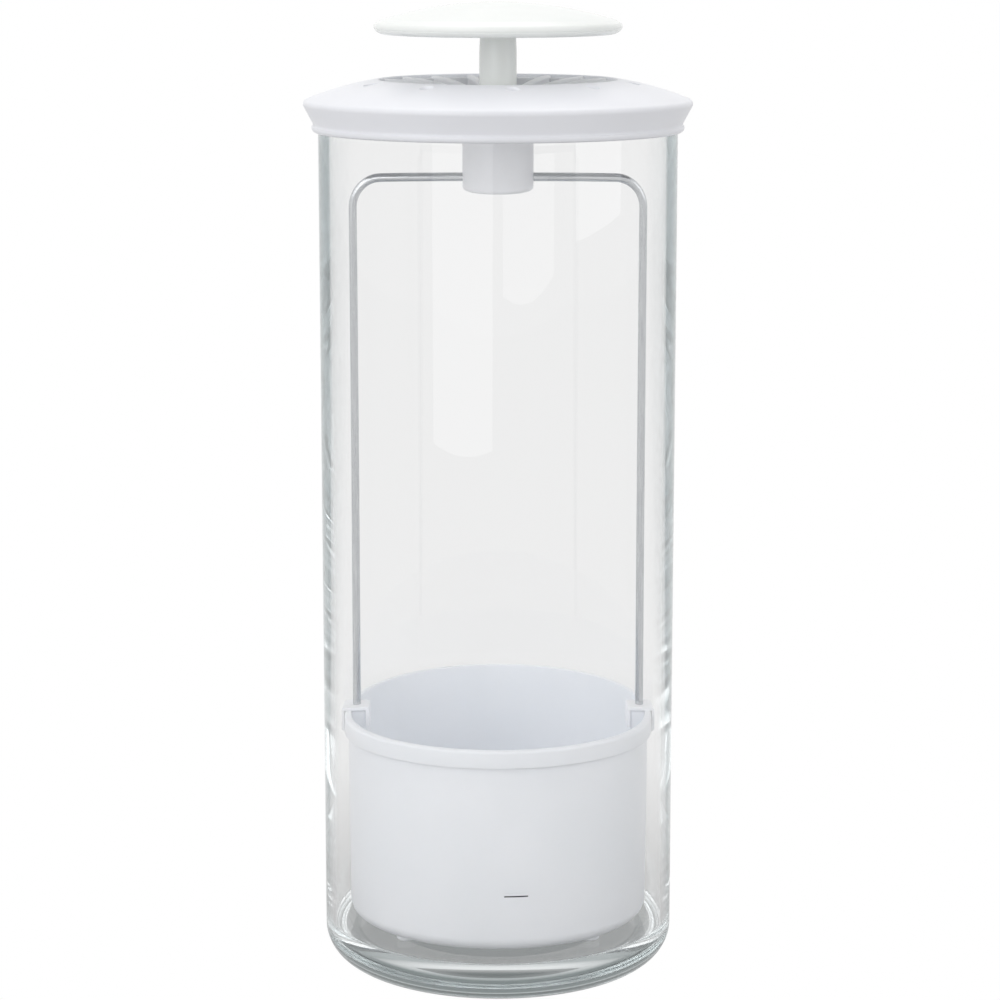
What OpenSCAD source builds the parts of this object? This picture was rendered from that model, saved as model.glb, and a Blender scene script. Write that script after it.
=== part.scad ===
// Herb keeper: a glass jar, a vented lid and a core that lifts out with its cup.
// The jar stands on z = 0 and every turned piece shares the Z axis.

/* [Jar] */
// Outer diameter of the glass
jar_d = 100; // [90:1:120]
// Height of the glass
jar_h = 243.3; // [215:0.1:275]
// Thickness of the glass wall
jar_wall = 2.2; // [1.8:0.1:3.4]
// Thickness of the glass base
jar_base_t = 12; // [8:0.5:14]
// Radius of the jar's outer bottom corner
jar_foot_r = 10; // [6:0.5:14]
// Radius of the corner between wall and floor inside
jar_floor_r = 1; // [0.5:0.5:2.5]
// Radius of the shallow hollow under the base
punt_r = 31; // [20:1:34]
// Depth of the shallow hollow under the base
punt_depth = 0.9; // [0.4:0.1:2]

/* [Lid] */
// Widest diameter of the lid
lid_d = 108.2; // [106:0.2:124]
// Height of the lid from its lower edge to its crest
lid_h = 14.4; // [13.4:0.1:18]
// Radius of the ring-shaped crest round the grille
crest_r = 33; // [30:0.5:35]
// Radius of the arc that the dome follows
dome_r = 85; // [70:1:110]
// Rounding of the lid's widest edge
rim_r = 1.3; // [0.8:0.1:1.8]
// Slope of the surface under the rim, from upright
under_slope = 28; // [22:1:36]
// How far the lid's skirt stands outside the glass
skirt_over = 1.8; // [1.6:0.1:2.4]
// How far the skirt reaches down over the glass
skirt_lap = 5; // [4.6:0.1:7]
// Wall thickness of the lid's mouldings
lid_wall = 2.2; // [1.6:0.1:2.6]
// Number of vent holes
vent_count = 10; // [6:1:14]
// Diameter of a vent hole
vent_d = 3.3; // [2:0.1:4]
// Distance of the vent holes outside the crest
vent_out = 5.3; // [4.6:0.1:6]
// Angle of the first vent hole from the front
vent_turn = 6; // [0:1:35]

/* [Grille] */
// Number of radial ribs
rib_count = 18; // [12:1:20]
// Width of a rib
rib_w = 2.4; // [1.6:0.1:2.8]
// Height of a rib
rib_h = 3.6; // [2.4:0.1:5]
// Slope of the ribs down to the hub
rib_slope = 8.5; // [4:0.5:12]
// Angle of the first rib from the front
rib_turn = 14; // [0:1:19]
// Diameter of the hub round the post
hub_d = 21; // [19:0.5:25]
// Height of the hub
hub_h = 8; // [6:0.5:10]
// Wall thickness of the bush in the hub
bush_wall = 1.4; // [1:0.1:2.2]

/* [Liner and seal] */
// Depth of the plug ring in the glass
plug_depth = 4.3; // [4:0.1:4.6]
// Wall thickness of the plug ring
plug_wall = 2.2; // [1.8:0.1:2.6]
// Gap between the plug ring and the glass
plug_gap = 1.4; // [1:0.1:2]
// Thickness of the flange that rests on the glass
flange_t = 1.6; // [1.2:0.1:1.8]
// Height of the seal
seal_h = 2.6; // [2:0.1:2.8]

/* [Knob and post] */
// Diameter of the knob
grip_d = 68.9; // [56:0.5:80]
// Height of the knob
grip_h = 8.9; // [8:0.1:12]
// Height of the knob's straight edge above its flat face
grip_edge_h = 3.4; // [2.8:0.1:4.4]
// Thickness of the knob's flat under shell
grip_base_t = 2.4; // [1.8:0.1:2.8]
// Wall thickness of the knob's domed shell
grip_wall = 2; // [1.4:0.1:2.4]
// Finger room between the lid's crest and the knob
finger_gap = 12.3; // [10:0.1:24]
// Diameter of the post
stem_d = 10.4; // [9.6:0.1:12]
// Diameter of the post where it meets the knob
stem_neck_d = 9.2; // [8.8:0.1:9.6]

/* [Core] */
// Travel of the post in the lid before it picks the lid up
core_play = 6; // [3:0.5:10]
// Diameter of the clamp at the foot of the post
yoke_d = 20; // [19:0.5:26]
// Height of the clamp's upper half
yoke_h = 11; // [10.5:0.5:14]
// Height of the clamp's lower half
yoke_cap_h = 3.6; // [3.2:0.1:5]
// Thickness of the soft washer on the clamp
bumper_t = 1.2; // [0.8:0.1:2]
// Diameter of the frame's wire
wire_d = 2.4; // [1.8:0.1:2.6]
// Gap between the wire's legs and the cup's inner wall
leg_inset = 0.2; // [0:0.1:3]
// Bend radius at the wire's corners
bend_r = 8; // [5:0.5:14]

/* [Cup] */
// Outer diameter of the cup's rim
cup_d = 89.4; // [88:0.2:90.6]
// Height of the cup's rim above its floor's underside
cup_h = 58.2; // [40:0.2:90]
// Height of the band round the cup's rim
band_h = 5; // [4:0.1:9]
// How far the band stands out from the cup's wall
band_step = 1.2; // [0.6:0.1:1.4]
// Narrowing of the cup's wall towards the floor, on the radius
cup_draft = 0.5; // [0:0.1:1.5]
// Thickness of the cup's wall at the band
cup_rim_t = 2; // [1.6:0.1:2.2]
// Thickness of the cup's floor
cup_floor_t = 2; // [1.4:0.1:3]
// Diameter of a drain hole
drain_d = 4; // [3:0.2:5]
// Rings of drain holes round the middle one
drain_rings = 2; // [1:1:2]
// Height of the cup's feet
cup_foot_h = 1.7; // [1:0.1:4]
// Depth of the sockets that take the wire's ends
socket_depth = 12; // [8:0.5:16]
// Width of a clip on the cup's rim
clip_w = 7.6; // [6.5:0.1:10]
// Wall thickness of a clip
clip_t = 0.9; // [0.8:0.1:1.3]

/* [Screws] */
// Thread diameter of the two screws in the post
post_screw_d = 4; // [3:0.5:4]
// Thread diameter of the clamp's screws
clamp_screw_d = 3; // [2:0.5:3]

/* [Clearances] */
// Gap between pieces that rest on each other and move apart
seat_gap = 0.3; // [0.3:0.05:0.4]
// Radial clearance of the post in its bush
slide_fit = 0.05; // [0.03:0.01:0.08]
// Radial clearance between pieces that are fixed together
push_fit = 0.03; // [0.02:0.01:0.05]
// Clearance of the skirt round the glass
skirt_gap = 0.35; // [0.3:0.05:0.5]
// Clearance of the seal's lip from the glass
seal_gap = 0.3; // [0.3:0.05:0.4]

/* [Hidden] */
$fn = 96;

// Overshoot of a cutter past the face it cuts
cut = 1;

// Jar
jar_r = jar_d / 2;
bore_r = jar_r - jar_wall;
lip_r = jar_wall / 2;

// Lid shell: heights are from the ground
lid_z = jar_h - skirt_lap;
crest_z = lid_z + lid_h;
skirt_r = jar_r + skirt_over;
skirt_round = 1.2;
skirt_neck = 0.4;
skirt_neck_r = skirt_r - skirt_neck;
crest_round = 0.5;
shoulder_drop = 0.9;
dome_axis_in = 12;
dome_axis_r = crest_r - dome_axis_in;
dome_z = crest_z - crest_round - sqrt(pow(dome_r - crest_round, 2) - pow(crest_r + crest_round - dome_axis_r, 2));
rim_axis_r = lid_d / 2 - rim_r;
rim_z = dome_z + sqrt(pow(dome_r - rim_r, 2) - pow(rim_axis_r - dome_axis_r, 2));
rim_turn = acos((rim_axis_r - dome_axis_r) / (dome_r - rim_r));
crest_turn = acos((crest_r + crest_round - dome_axis_r) / (dome_r - crest_round));
under_r = rim_axis_r + rim_r * cos(under_slope);
under_z = rim_z - rim_r * sin(under_slope);
skirt_neck_h = 0.6;
skirt_neck_z = max(under_z - (under_r - skirt_neck_r) / tan(under_slope), lid_z + skirt_round + skirt_neck_h);

// Liner and seal
plug_r = bore_r - plug_gap;
plug_in_r = plug_r - plug_wall;
seat_z = jar_h + seat_gap;
flange_z = seat_z + flange_t;
keeper_h = 1.8;
plug_room = 0.3;
plug_top_z = min(flange_z + keeper_h, dome_in_z(plug_r) - plug_room);
plug_low_z = jar_h - plug_depth;
keeper_wall = 1.6;
skirt_in_r = jar_r + skirt_gap;
pocket_rise = 0.3;
pocket_room = 0.4;
pocket_z = max(rim_z + pocket_rise, flange_z + pocket_room);
groove_depth = 1.0;
groove_r = plug_r - groove_depth;
seal_rise = 0.9;
seal_z = plug_low_z + seal_rise;
seal_lip_r = bore_r - seal_gap;
seal_lip_h = 1.2;

// Grille
grille_lap = 1.4;
grille_r = crest_r + grille_lap;
shoulder_z = crest_z - shoulder_drop;
grille_ring_h = 4;
grille_ring_w = 3.2;
hub_r = hub_d / 2;
rib_drop = 0.35;
rib_top_z = crest_z - rib_drop;
hub_top_z = rib_top_z - (crest_r - hub_r) * tan(rib_slope);
rib_curl = 1.7;
hub_z = hub_top_z - hub_h;

// Post and bush
stem_r = stem_d / 2;
bush_in_r = stem_r + slide_fit;
bush_r = bush_in_r + bush_wall;
bush_flange_w = 1.5;
bush_flange_r = bush_r + bush_flange_w;
bush_flange_t = 0.9;
grip_z = crest_z + finger_gap;
grip_r = grip_d / 2;
neck_h = 7;

// Knob
grip_top_z = grip_z + grip_h;
grip_rise = grip_h - grip_edge_h;
grip_dome_r = (pow(grip_r, 2) + pow(grip_rise, 2)) / (2 * grip_rise);
grip_round = 1.2;
grip_under_in = 3.4;
grip_under_h = grip_edge_h - grip_round;
grip_seam_z = grip_z + min(grip_base_t * 0.6, grip_under_h * 0.8);
grip_seam_turn = asin((grip_seam_z - grip_z) / grip_under_h - 1);
base_top_z = grip_z + grip_base_t;
boss_r = 7;
boss_h = 0.9;
boss_top_z = base_top_z + boss_h;
spigot_r = 3.2;

// Screws: head sizes follow the thread
post_head_r = post_screw_d * 0.95;
post_head_h = post_screw_d * 0.55;
washer_t = 0.6;
washer_r = post_head_r + 0.6;
thread_fit = 0.02;
screw_bite = 11;

// Clamp
bumper_top_z = hub_z - seat_gap - core_play;
yoke_top_z = bumper_top_z - bumper_t;
wire_z = yoke_top_z - yoke_h;
yoke_r = yoke_d / 2;
stem_seat_depth = 4.2;
stem_seat_z = yoke_top_z - stem_seat_depth;
yoke_web_t = 2;
head_room = 0.4;
head_pocket_r = post_head_r + head_room;
head_pocket_z = stem_seat_z - yoke_web_t;
yoke_cap_z = wire_z - yoke_cap_h;
clamp_screw_in = 3.4;
clamp_screw_y = yoke_r - clamp_screw_in;
clamp_head_r = clamp_screw_d * 0.83;
clamp_head_h = clamp_screw_d * 0.5;
clamp_hole_z = stem_seat_z - 1;

// Wire and cup
wire_r = wire_d / 2;
cup_z = jar_base_t + seat_gap + cup_foot_h;
rim_top_z = cup_z + cup_h;
cup_r = cup_d / 2;
cup_bore_r = cup_r - cup_rim_t;
leg_x = cup_bore_r - wire_r - leg_inset;
wall_r = cup_r - band_step;
wall_low_r = wall_r - cup_draft;
wall_t = 1.8;
cup_corner_r = 4;
cup_in_corner_r = 2.6;
socket_z = rim_top_z - socket_depth;
socket_floor_t = 2;
lug_wall = 1.7;
lug_in_x = leg_x - wire_r - lug_wall;
lug_w = 6.2;
drain_pitch = 14;
foot_d = 6;
foot_ring_r = wall_low_r - cup_corner_r - foot_d / 2;

// Points on an arc from angle a0 to angle a1, in steps of equal turn
function arc(x, z, r, a0, a1, steps) =
    [for (i = [0:steps]) let (a = a0 + (a1 - a0) * i / steps) [x + r * cos(a), z + r * sin(a)]];

// Height of the lid shell's inner face at radius r
function dome_in_z(r) = dome_z + sqrt(pow(dome_r - lid_wall, 2) - pow(r - dome_axis_r, 2));

// Points on the knob's rounded under edge, from angle a0 to angle a1
function under_edge(a0, a1, steps) =
    [for (i = [0:steps]) let (a = a0 + (a1 - a0) * i / steps)
        [grip_r - grip_under_in * (1 - cos(a)), grip_z + grip_under_h * (1 + sin(a))]];

// Height of a rib's top at radius r: level at the crest, then falling to the hub
function rib_z(r) = rib_top_z - (rib_top_z - hub_top_z) * pow((crest_r - r) / (crest_r - hub_r), rib_curl);

// Height of the knob shell's inner face at radius r
function grip_in_z(r) = grip_top_z - grip_dome_r + sqrt(pow(grip_dome_r - grip_wall, 2) - pow(r, 2));

// A turned ring of rectangular section
module ring(outer_r, inner_r, low_z, high_z) {
    translate([0, 0, low_z]) difference() {
        cylinder(h = high_z - low_z, r = outer_r);
        translate([0, 0, -cut]) cylinder(h = high_z - low_z + 2 * cut, r = inner_r);
    }
}

// A pan head screw whose head sits on z = 0 and whose shank points down
module pan_screw(thread_d, head_r, head_h, length) {
    drive_w = thread_d * 0.22;
    difference() {
        union() {
            rotate_extrude() polygon(concat(
                [[0, 0], [head_r, 0], [head_r, head_h * 0.45]],
                arc(head_r * 0.55, head_h * 0.45, head_h * 0.55, 60, 90, 3),
                [[0, head_h]]
            ));
            translate([0, 0, -length]) cylinder(h = length + 0.01, r = thread_d / 2, $fn = 48);
        }
        for (turn = [0, 90]) rotate([0, 0, turn])
            translate([-head_r * 0.5, -drive_w / 2, head_h * 0.5]) cube([head_r, drive_w, head_h]);
    }
}

// Thick-based glass with a fire-polished lip and a shallow hollow under it
module glass_jar() {
    foot_ring = jar_r - jar_foot_r;
    color([0.86, 0.92, 0.91, 0.35]) rotate_extrude() polygon(concat(
        [[0, punt_depth], [punt_r * 0.7, punt_depth * 0.8], [punt_r, 0], [foot_ring, 0]],
        arc(foot_ring, jar_foot_r, jar_foot_r, -90, 0, 12),
        arc(jar_r - lip_r, jar_h - lip_r, lip_r, 0, 180, 8),
        arc(bore_r - jar_floor_r, jar_base_t + jar_floor_r, jar_floor_r, 0, -90, 8),
        [[0, jar_base_t]]
    ));
}

// Domed shell: crest, dome, rim and skirt, hollow inside, with its ring of vents
module lid_shell() {
    vent_r = crest_r + vent_out;
    keeper_in_r = plug_r + push_fit;
    keeper_out_r = keeper_in_r + keeper_wall;
    collar_in_r = grille_r + push_fit;
    collar_out_r = collar_in_r + 1.6;
    collar_low_z = shoulder_z - grille_ring_h;
    color("#f2f3f6") difference() {
        rotate_extrude() polygon(concat(
            [[crest_r, shoulder_z], [crest_r, crest_z - crest_round * 2]],
            arc(crest_r + crest_round, crest_z - crest_round, crest_round, 180, crest_turn, 5),
            arc(dome_axis_r, dome_z, dome_r, crest_turn, rim_turn, 14),
            arc(rim_axis_r, rim_z, rim_r, rim_turn, -under_slope, 8),
            [[skirt_neck_r, skirt_neck_z]],
            arc(skirt_r - skirt_round, lid_z + skirt_round, skirt_round, 0, -90, 4),
            [[skirt_in_r, lid_z], [skirt_in_r, pocket_z], [keeper_out_r, pocket_z]],
            [[keeper_out_r, flange_z], [keeper_in_r, flange_z]],
            [for (i = [0:6]) let (r = keeper_in_r + (collar_out_r - keeper_in_r) * i / 6) [r, dome_in_z(r)]],
            [[collar_out_r, collar_low_z], [collar_in_r, collar_low_z], [collar_in_r, shoulder_z]]
        ));
        for (i = [0:vent_count - 1]) rotate([0, 0, vent_turn - 90 + i * 360 / vent_count])
            translate([vent_r, 0, lid_z]) cylinder(h = lid_h + cut, d = vent_d, $fn = 48);
    }
}

// Dished centre: an outer ring, radial ribs and the hub that holds the bush
module vent_grille() {
    ring_in_r = grille_r - grille_ring_w;
    rib_in_r = hub_r - 1;
    rib_out_r = grille_r - 1;
    rib_end_r = crest_r - push_fit;
    rib_steps = [for (i = [0:8]) rib_in_r + (rib_end_r - rib_in_r) * i / 8];
    color("#e9eaec") {
        ring(grille_r, ring_in_r, shoulder_z - grille_ring_h, shoulder_z);
        difference() {
            translate([0, 0, hub_z]) cylinder(h = hub_h, r = hub_r);
            translate([0, 0, hub_z - cut]) cylinder(h = hub_h + 2 * cut, r = bush_r + push_fit);
        }
        for (i = [0:rib_count - 1]) rotate([0, 0, rib_turn - 90 + i * 360 / rib_count])
            rotate([90, 0, 0]) translate([0, 0, -rib_w / 2]) linear_extrude(height = rib_w)
                polygon(concat(
                    [for (r = rib_steps) [r, rib_z(r)]],
                    [[rib_end_r, shoulder_z], [rib_out_r, shoulder_z], [rib_out_r, shoulder_z - rib_h]],
                    [for (i = [8:-1:0]) [rib_steps[i], rib_z(rib_steps[i]) - rib_h]]
                ));
    }
}

// Plug ring behind the skirt, with the flange that rests on the glass and the seal's groove
module lid_liner() {
    lead = 0.5;
    color("#e4e5e8") rotate_extrude() polygon([
        [plug_in_r, plug_low_z + lead], [plug_in_r + lead, plug_low_z], [plug_r - lead, plug_low_z],
        [plug_r, plug_low_z + lead], [plug_r, seal_z], [groove_r, seal_z],
        [groove_r, seal_z + seal_h], [plug_r, seal_z + seal_h], [plug_r, seat_z],
        [skirt_in_r - push_fit, seat_z], [skirt_in_r - push_fit, flange_z],
        [plug_r, flange_z], [plug_r, plug_top_z], [plug_in_r, plug_top_z]
    ]);
}

// Soft ring with a lip that centres the plug in the glass
module lid_seal() {
    inner_r = groove_r + push_fit;
    body_r = plug_r + 0.25;
    low = seal_z + push_fit;
    high = seal_z + seal_h - push_fit;
    lip_z = (low + high) / 2;
    color("#dfe3e2") rotate_extrude() polygon([
        [inner_r, low], [body_r, low], [body_r, lip_z - seal_lip_h / 2], [seal_lip_r, lip_z - 0.15],
        [seal_lip_r, lip_z + 0.15], [body_r, lip_z + seal_lip_h / 2], [body_r, high], [inner_r, high]
    ]);
}

// Flanged bush pressed into the grille's hub, in which the post slides
module stem_bush() {
    color("#f6f6f3") {
        ring(bush_r, bush_in_r, hub_z, hub_top_z + bush_flange_t);
        ring(bush_flange_r, bush_in_r, hub_top_z, hub_top_z + bush_flange_t);
    }
}

// Domed top shell of the knob
module grip_cap() {
    edge_z = grip_z + grip_edge_h;
    dome_turn = acos((grip_r - grip_round) / (grip_dome_r - grip_round));
    inner_r = grip_r - grip_wall;
    color("#fafcfb") rotate_extrude() polygon(concat(
        [[inner_r, grip_seam_z]],
        under_edge(grip_seam_turn, grip_seam_turn / 4, 3),
        arc(grip_r - grip_round, edge_z - grip_round, grip_round, 0, dome_turn, 5),
        [for (i = [0:12]) let (r = (grip_r - grip_round) * (1 - i / 12))
            [r, grip_top_z - grip_dome_r + sqrt(pow(grip_dome_r, 2) - pow(r, 2))]],
        [for (i = [0:8]) let (r = inner_r * i / 8) [r, max(grip_in_z(r), base_top_z + push_fit)]]
    ));
}

// Flat under shell of the knob, with a boss that takes the post's spigot
module grip_base() {
    tongue_r = grip_r - grip_wall - push_fit;
    color("#f6faf7") difference() {
        rotate_extrude() polygon(concat(
            [[0, grip_z]],
            under_edge(-90, grip_seam_turn, 7),
            [[tongue_r, grip_seam_z], [tongue_r, base_top_z]],
            [[boss_r, base_top_z], [boss_r, boss_top_z], [0, boss_top_z]]
        ));
        translate([0, 0, grip_z - cut]) cylinder(h = grip_h, r = spigot_r + push_fit);
    }
}

// Plain washer that spreads the knob screw's load on the boss
module grip_washer() {
    color("#c4c8cc") ring(washer_r, post_screw_d / 2 + 0.1, boss_top_z, boss_top_z + washer_t);
}

// Screw down through the knob's boss into the post
module grip_screw() {
    color("#c4c8cc") translate([0, 0, boss_top_z + washer_t])
        pan_screw(post_screw_d, post_head_r, post_head_h, screw_bite);
}

// White post: straight in the bush, slightly waisted under the knob, drilled at both ends
module stem() {
    neck_r = stem_neck_d / 2;
    neck_drop = stem_r - neck_r;
    screw_r = post_screw_d / 2 + thread_fit;
    top_bite_z = boss_top_z + washer_t - screw_bite;
    color("#f4f9f3") difference() {
        rotate_extrude() polygon(concat(
            [[0, stem_seat_z], [stem_r, stem_seat_z]],
            [for (i = [0:8]) let (t = i / 8) [stem_r - neck_drop * t * t, grip_z - neck_h * (1 - t)]],
            [[spigot_r, grip_z], [spigot_r, boss_top_z - 0.2], [0, boss_top_z - 0.2]]
        ));
        translate([0, 0, top_bite_z - 0.5]) cylinder(h = grip_h + screw_bite, r = screw_r, $fn = 48);
        translate([0, 0, stem_seat_z - cut])
            cylinder(h = screw_bite - yoke_web_t + 0.5 + cut, r = screw_r, $fn = 48);
    }
}

// Soft washer that meets the hub when the knob is pulled
module bumper_washer() {
    color("#dfe3e2") ring(yoke_r - 0.6, stem_r + push_fit, yoke_top_z, bumper_top_z);
}

// Upper half of the clamp: seat for the post, pocket for its screw, half groove for the wire
module yoke() {
    color("#eeeff2") difference() {
        translate([0, 0, wire_z]) cylinder(h = yoke_h, r = yoke_r);
        translate([0, 0, stem_seat_z]) cylinder(h = yoke_h, r = stem_r + push_fit);
        translate([0, 0, wire_z - cut]) cylinder(h = head_pocket_z - wire_z + cut, r = head_pocket_r);
        translate([0, 0, wire_z]) cylinder(h = yoke_h, r = post_screw_d / 2 + 0.1, $fn = 48);
        translate([-yoke_d, 0, wire_z]) rotate([0, 90, 0])
            cylinder(h = 2 * yoke_d, r = wire_r + push_fit, $fn = 48);
        for (side = [-1, 1]) translate([0, side * clamp_screw_y, wire_z - cut])
            cylinder(h = clamp_hole_z - wire_z + cut, r = clamp_screw_d / 2 + thread_fit, $fn = 48);
    }
}

// Screw up through the clamp's upper half into the post
module stem_screw() {
    color("#c4c8cc") translate([0, 0, head_pocket_z]) rotate([180, 0, 0])
        pan_screw(post_screw_d, post_head_r, post_head_h, screw_bite);
}

// Lower half of the clamp, with the other half groove and the screws' counterbores
module yoke_cap() {
    edge = 1.2;
    color("#eeeff2") difference() {
        rotate_extrude() polygon(concat(
            [[0, wire_z], [0, yoke_cap_z]],
            arc(yoke_r - edge, yoke_cap_z + edge, edge, -90, 0, 4),
            [[yoke_r, wire_z]]
        ));
        translate([-yoke_d, 0, wire_z]) rotate([0, 90, 0])
            cylinder(h = 2 * yoke_d, r = wire_r + push_fit, $fn = 48);
        for (side = [-1, 1]) translate([0, side * clamp_screw_y, yoke_cap_z - cut]) {
            cylinder(h = yoke_cap_h + 2 * cut, r = clamp_screw_d / 2 + 0.1, $fn = 48);
            cylinder(h = clamp_head_h + cut, r = clamp_head_r + 0.2, $fn = 48);
        }
    }
}

// One clamp screw, its head in the lower half's counterbore
module clamp_screw(side) {
    seat_z = yoke_cap_z + clamp_head_h;
    bite = clamp_hole_z - 0.4 - seat_z;
    color("#c4c8cc") translate([0, side * clamp_screw_y, seat_z]) rotate([180, 0, 0])
        pan_screw(clamp_screw_d, clamp_head_r, clamp_head_h, bite);
}

// Stainless wire bent to an inverted U, its ends in the cup's sockets
module wire_frame() {
    bar_half = leg_x - bend_r;
    leg_top_z = wire_z - bend_r;
    leg_low_z = socket_z + 0.2;
    color("#b9bdc1") {
        translate([-bar_half, 0, wire_z]) rotate([0, 90, 0]) cylinder(h = 2 * bar_half, r = wire_r, $fn = 48);
        for (side = [-1, 1]) {
            translate([side * bar_half, 0, leg_top_z]) rotate([90, 0, 0])
                rotate([0, 0, side > 0 ? 0 : 90])
                    rotate_extrude(angle = 90) translate([bend_r, 0]) circle(r = wire_r, $fn = 48);
            translate([side * leg_x, 0, leg_low_z])
                cylinder(h = leg_top_z - leg_low_z, r = wire_r, $fn = 48);
        }
    }
}

// Section of the cup's wall and floor
module cup_section() {
    in_low_r = wall_low_r - wall_t;
    floor_z = cup_z + cup_floor_t;
    top_round = 0.8;
    band_z = rim_top_z - band_h;
    polygon(concat(
        [[0, cup_z]],
        arc(wall_low_r - cup_corner_r, cup_z + cup_corner_r, cup_corner_r, -90, 0, 7),
        [[wall_r, band_z], [cup_r, band_z + 0.3]],
        arc(cup_r - top_round, rim_top_z - top_round, top_round, 0, 90, 4),
        [[cup_bore_r + 0.3, rim_top_z], [cup_bore_r, rim_top_z - 0.3], [cup_bore_r, band_z - 1]],
        arc(in_low_r - cup_in_corner_r, floor_z + cup_in_corner_r, cup_in_corner_r, 0, -90, 5),
        [[0, floor_z]]
    ));
}

// Cup with rim band, drained floor, feet, and the two sockets for the wire
module cup() {
    lug_low_z = socket_z - socket_floor_t;
    color("#eaebee") difference() {
        union() {
            rotate_extrude() cup_section();
            for (i = [0:3]) rotate([0, 0, 45 + i * 90])
                translate([foot_ring_r, 0, cup_z - cup_foot_h])
                    cylinder(h = cup_foot_h + 0.5, d = foot_d, $fn = 48);
            intersection() {
                translate([0, 0, lug_low_z]) cylinder(h = rim_top_z - 0.3 - lug_low_z, r = cup_bore_r + 0.6);
                for (side = [-1, 1]) translate([side > 0 ? lug_in_x : -cup_r, -lug_w / 2, lug_low_z])
                    cube([cup_r - lug_in_x, lug_w, rim_top_z - 0.3 - lug_low_z]);
            }
        }
        for (side = [-1, 1]) translate([side * leg_x, 0, socket_z])
            cylinder(h = socket_depth + cut, r = wire_r + push_fit, $fn = 48);
        translate([0, 0, cup_z - cut]) cylinder(h = cup_floor_t + 2 * cut, d = drain_d, $fn = 32);
        for (k = [1:drain_rings]) for (i = [0:6 * k - 1]) rotate([0, 0, i * 60 / k])
            translate([k * drain_pitch, 0, cup_z - cut])
                cylinder(h = cup_floor_t + 2 * cut, d = drain_d, $fn = 32);
    }
}

// Saddle clip over the cup's rim, holed for the wire
module leg_clip(side) {
    in_x = lug_in_x - push_fit;
    out_x = cup_r + push_fit;
    foot_z = rim_top_z - band_h - clip_t - push_fit;
    color("#f2f3f6") mirror([side > 0 ? 0 : 1, 0, 0]) difference() {
        translate([0, clip_w / 2, 0]) rotate([90, 0, 0]) linear_extrude(height = clip_w) polygon([
            [in_x - clip_t, rim_top_z - 5], [in_x, rim_top_z - 5], [in_x, rim_top_z],
            [out_x, rim_top_z], [out_x, foot_z + clip_t], [out_x, foot_z],
            [out_x + clip_t, foot_z + 0.4], [out_x + clip_t, rim_top_z + clip_t - 0.7],
            [out_x + clip_t - 0.7, rim_top_z + clip_t], [in_x - clip_t + 0.7, rim_top_z + clip_t],
            [in_x - clip_t, rim_top_z + clip_t - 0.7]
        ]);
        translate([leg_x, 0, rim_top_z - cut]) cylinder(h = clip_t + 2 * cut, r = wire_r + push_fit, $fn = 48);
    }
}

glass_jar();
lid_shell();
vent_grille();
lid_liner();
lid_seal();
stem_bush();
grip_cap();
grip_base();
grip_washer();
grip_screw();
stem();
bumper_washer();
yoke();
stem_screw();
wire_frame();
yoke_cap();
clamp_screw(-1);  // yoke_screw_front
clamp_screw(1);  // yoke_screw_rear
cup();
leg_clip(-1);  // left_leg_clip
leg_clip(1);  // right_leg_clip
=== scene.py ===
from math import acos, asin, cos, degrees, pi, radians, sin, sqrt, tan

import bpy
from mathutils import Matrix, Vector


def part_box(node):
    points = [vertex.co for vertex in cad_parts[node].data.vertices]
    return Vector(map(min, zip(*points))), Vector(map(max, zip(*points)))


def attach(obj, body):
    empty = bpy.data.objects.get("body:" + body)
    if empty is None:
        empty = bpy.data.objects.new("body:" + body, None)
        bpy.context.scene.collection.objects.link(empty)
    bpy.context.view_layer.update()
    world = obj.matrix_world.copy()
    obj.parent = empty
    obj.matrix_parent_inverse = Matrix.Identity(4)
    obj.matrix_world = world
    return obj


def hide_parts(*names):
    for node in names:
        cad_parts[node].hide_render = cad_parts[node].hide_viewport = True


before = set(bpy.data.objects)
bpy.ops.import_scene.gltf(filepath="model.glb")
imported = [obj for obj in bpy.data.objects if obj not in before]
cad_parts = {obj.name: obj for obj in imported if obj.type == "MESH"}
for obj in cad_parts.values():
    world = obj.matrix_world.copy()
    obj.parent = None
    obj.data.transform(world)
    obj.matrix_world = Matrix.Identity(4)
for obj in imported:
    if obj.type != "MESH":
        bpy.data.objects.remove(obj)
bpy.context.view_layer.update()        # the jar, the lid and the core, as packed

mm = 0.001

# Camera: level with the knob's rim and a little above the lid, tilted down along the glass, with a
# long lens. The jar's axis stands two pixels left of the picture's middle.
camera_distance = 843 * mm
camera_height = 293 * mm
camera_tilt = 10.69
axis_offset_px = 2
picture_px = 1000
camera_lens = 108.5
sensor_width = 36
bpy.ops.object.camera_add(
    location=(0, -camera_distance, camera_height), rotation=(radians(90 - camera_tilt), 0, 0)
)
camera = bpy.context.object
camera.name = "camera"
camera.data.sensor_width = sensor_width
camera.data.lens = camera_lens
camera.data.shift_x = axis_offset_px / picture_px
camera.data.clip_start = 0.01
camera.data.dof.use_dof = False
bpy.context.scene.camera = camera


# Studio: a white floor that keeps the object's shadow, a white surround, and four soft lamps. Both
# show white to the eye, and in gloss and glass, and light at a plain level. Seen through glass and
# in gloss, the floor carries a painted shadow round the foot, which gives the jar's thick base its
# depth.
def linear(code):
    """Linear colour of an sRGB hex code."""
    shares = [int(code[i:i + 2], 16) / 255 for i in (1, 3, 5)]
    return (*[s / 12.92 if s <= 0.04045 else ((s + 0.055) / 1.055) ** 2.4 for s in shares], 1)


def add_node(owner, kind, settings=None, inputs=None):
    """Adds a node to a material or world. An input is a value or another node's output."""
    tree = owner.node_tree
    node = tree.nodes.new(kind)
    for name, value in (settings or {}).items():
        setattr(node, name, value)
    for socket, value in (inputs or {}).items():
        if isinstance(value, bpy.types.NodeSocket):
            tree.links.new(value, node.inputs[socket])
        else:
            node.inputs[socket].default_value = value
    return node


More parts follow.
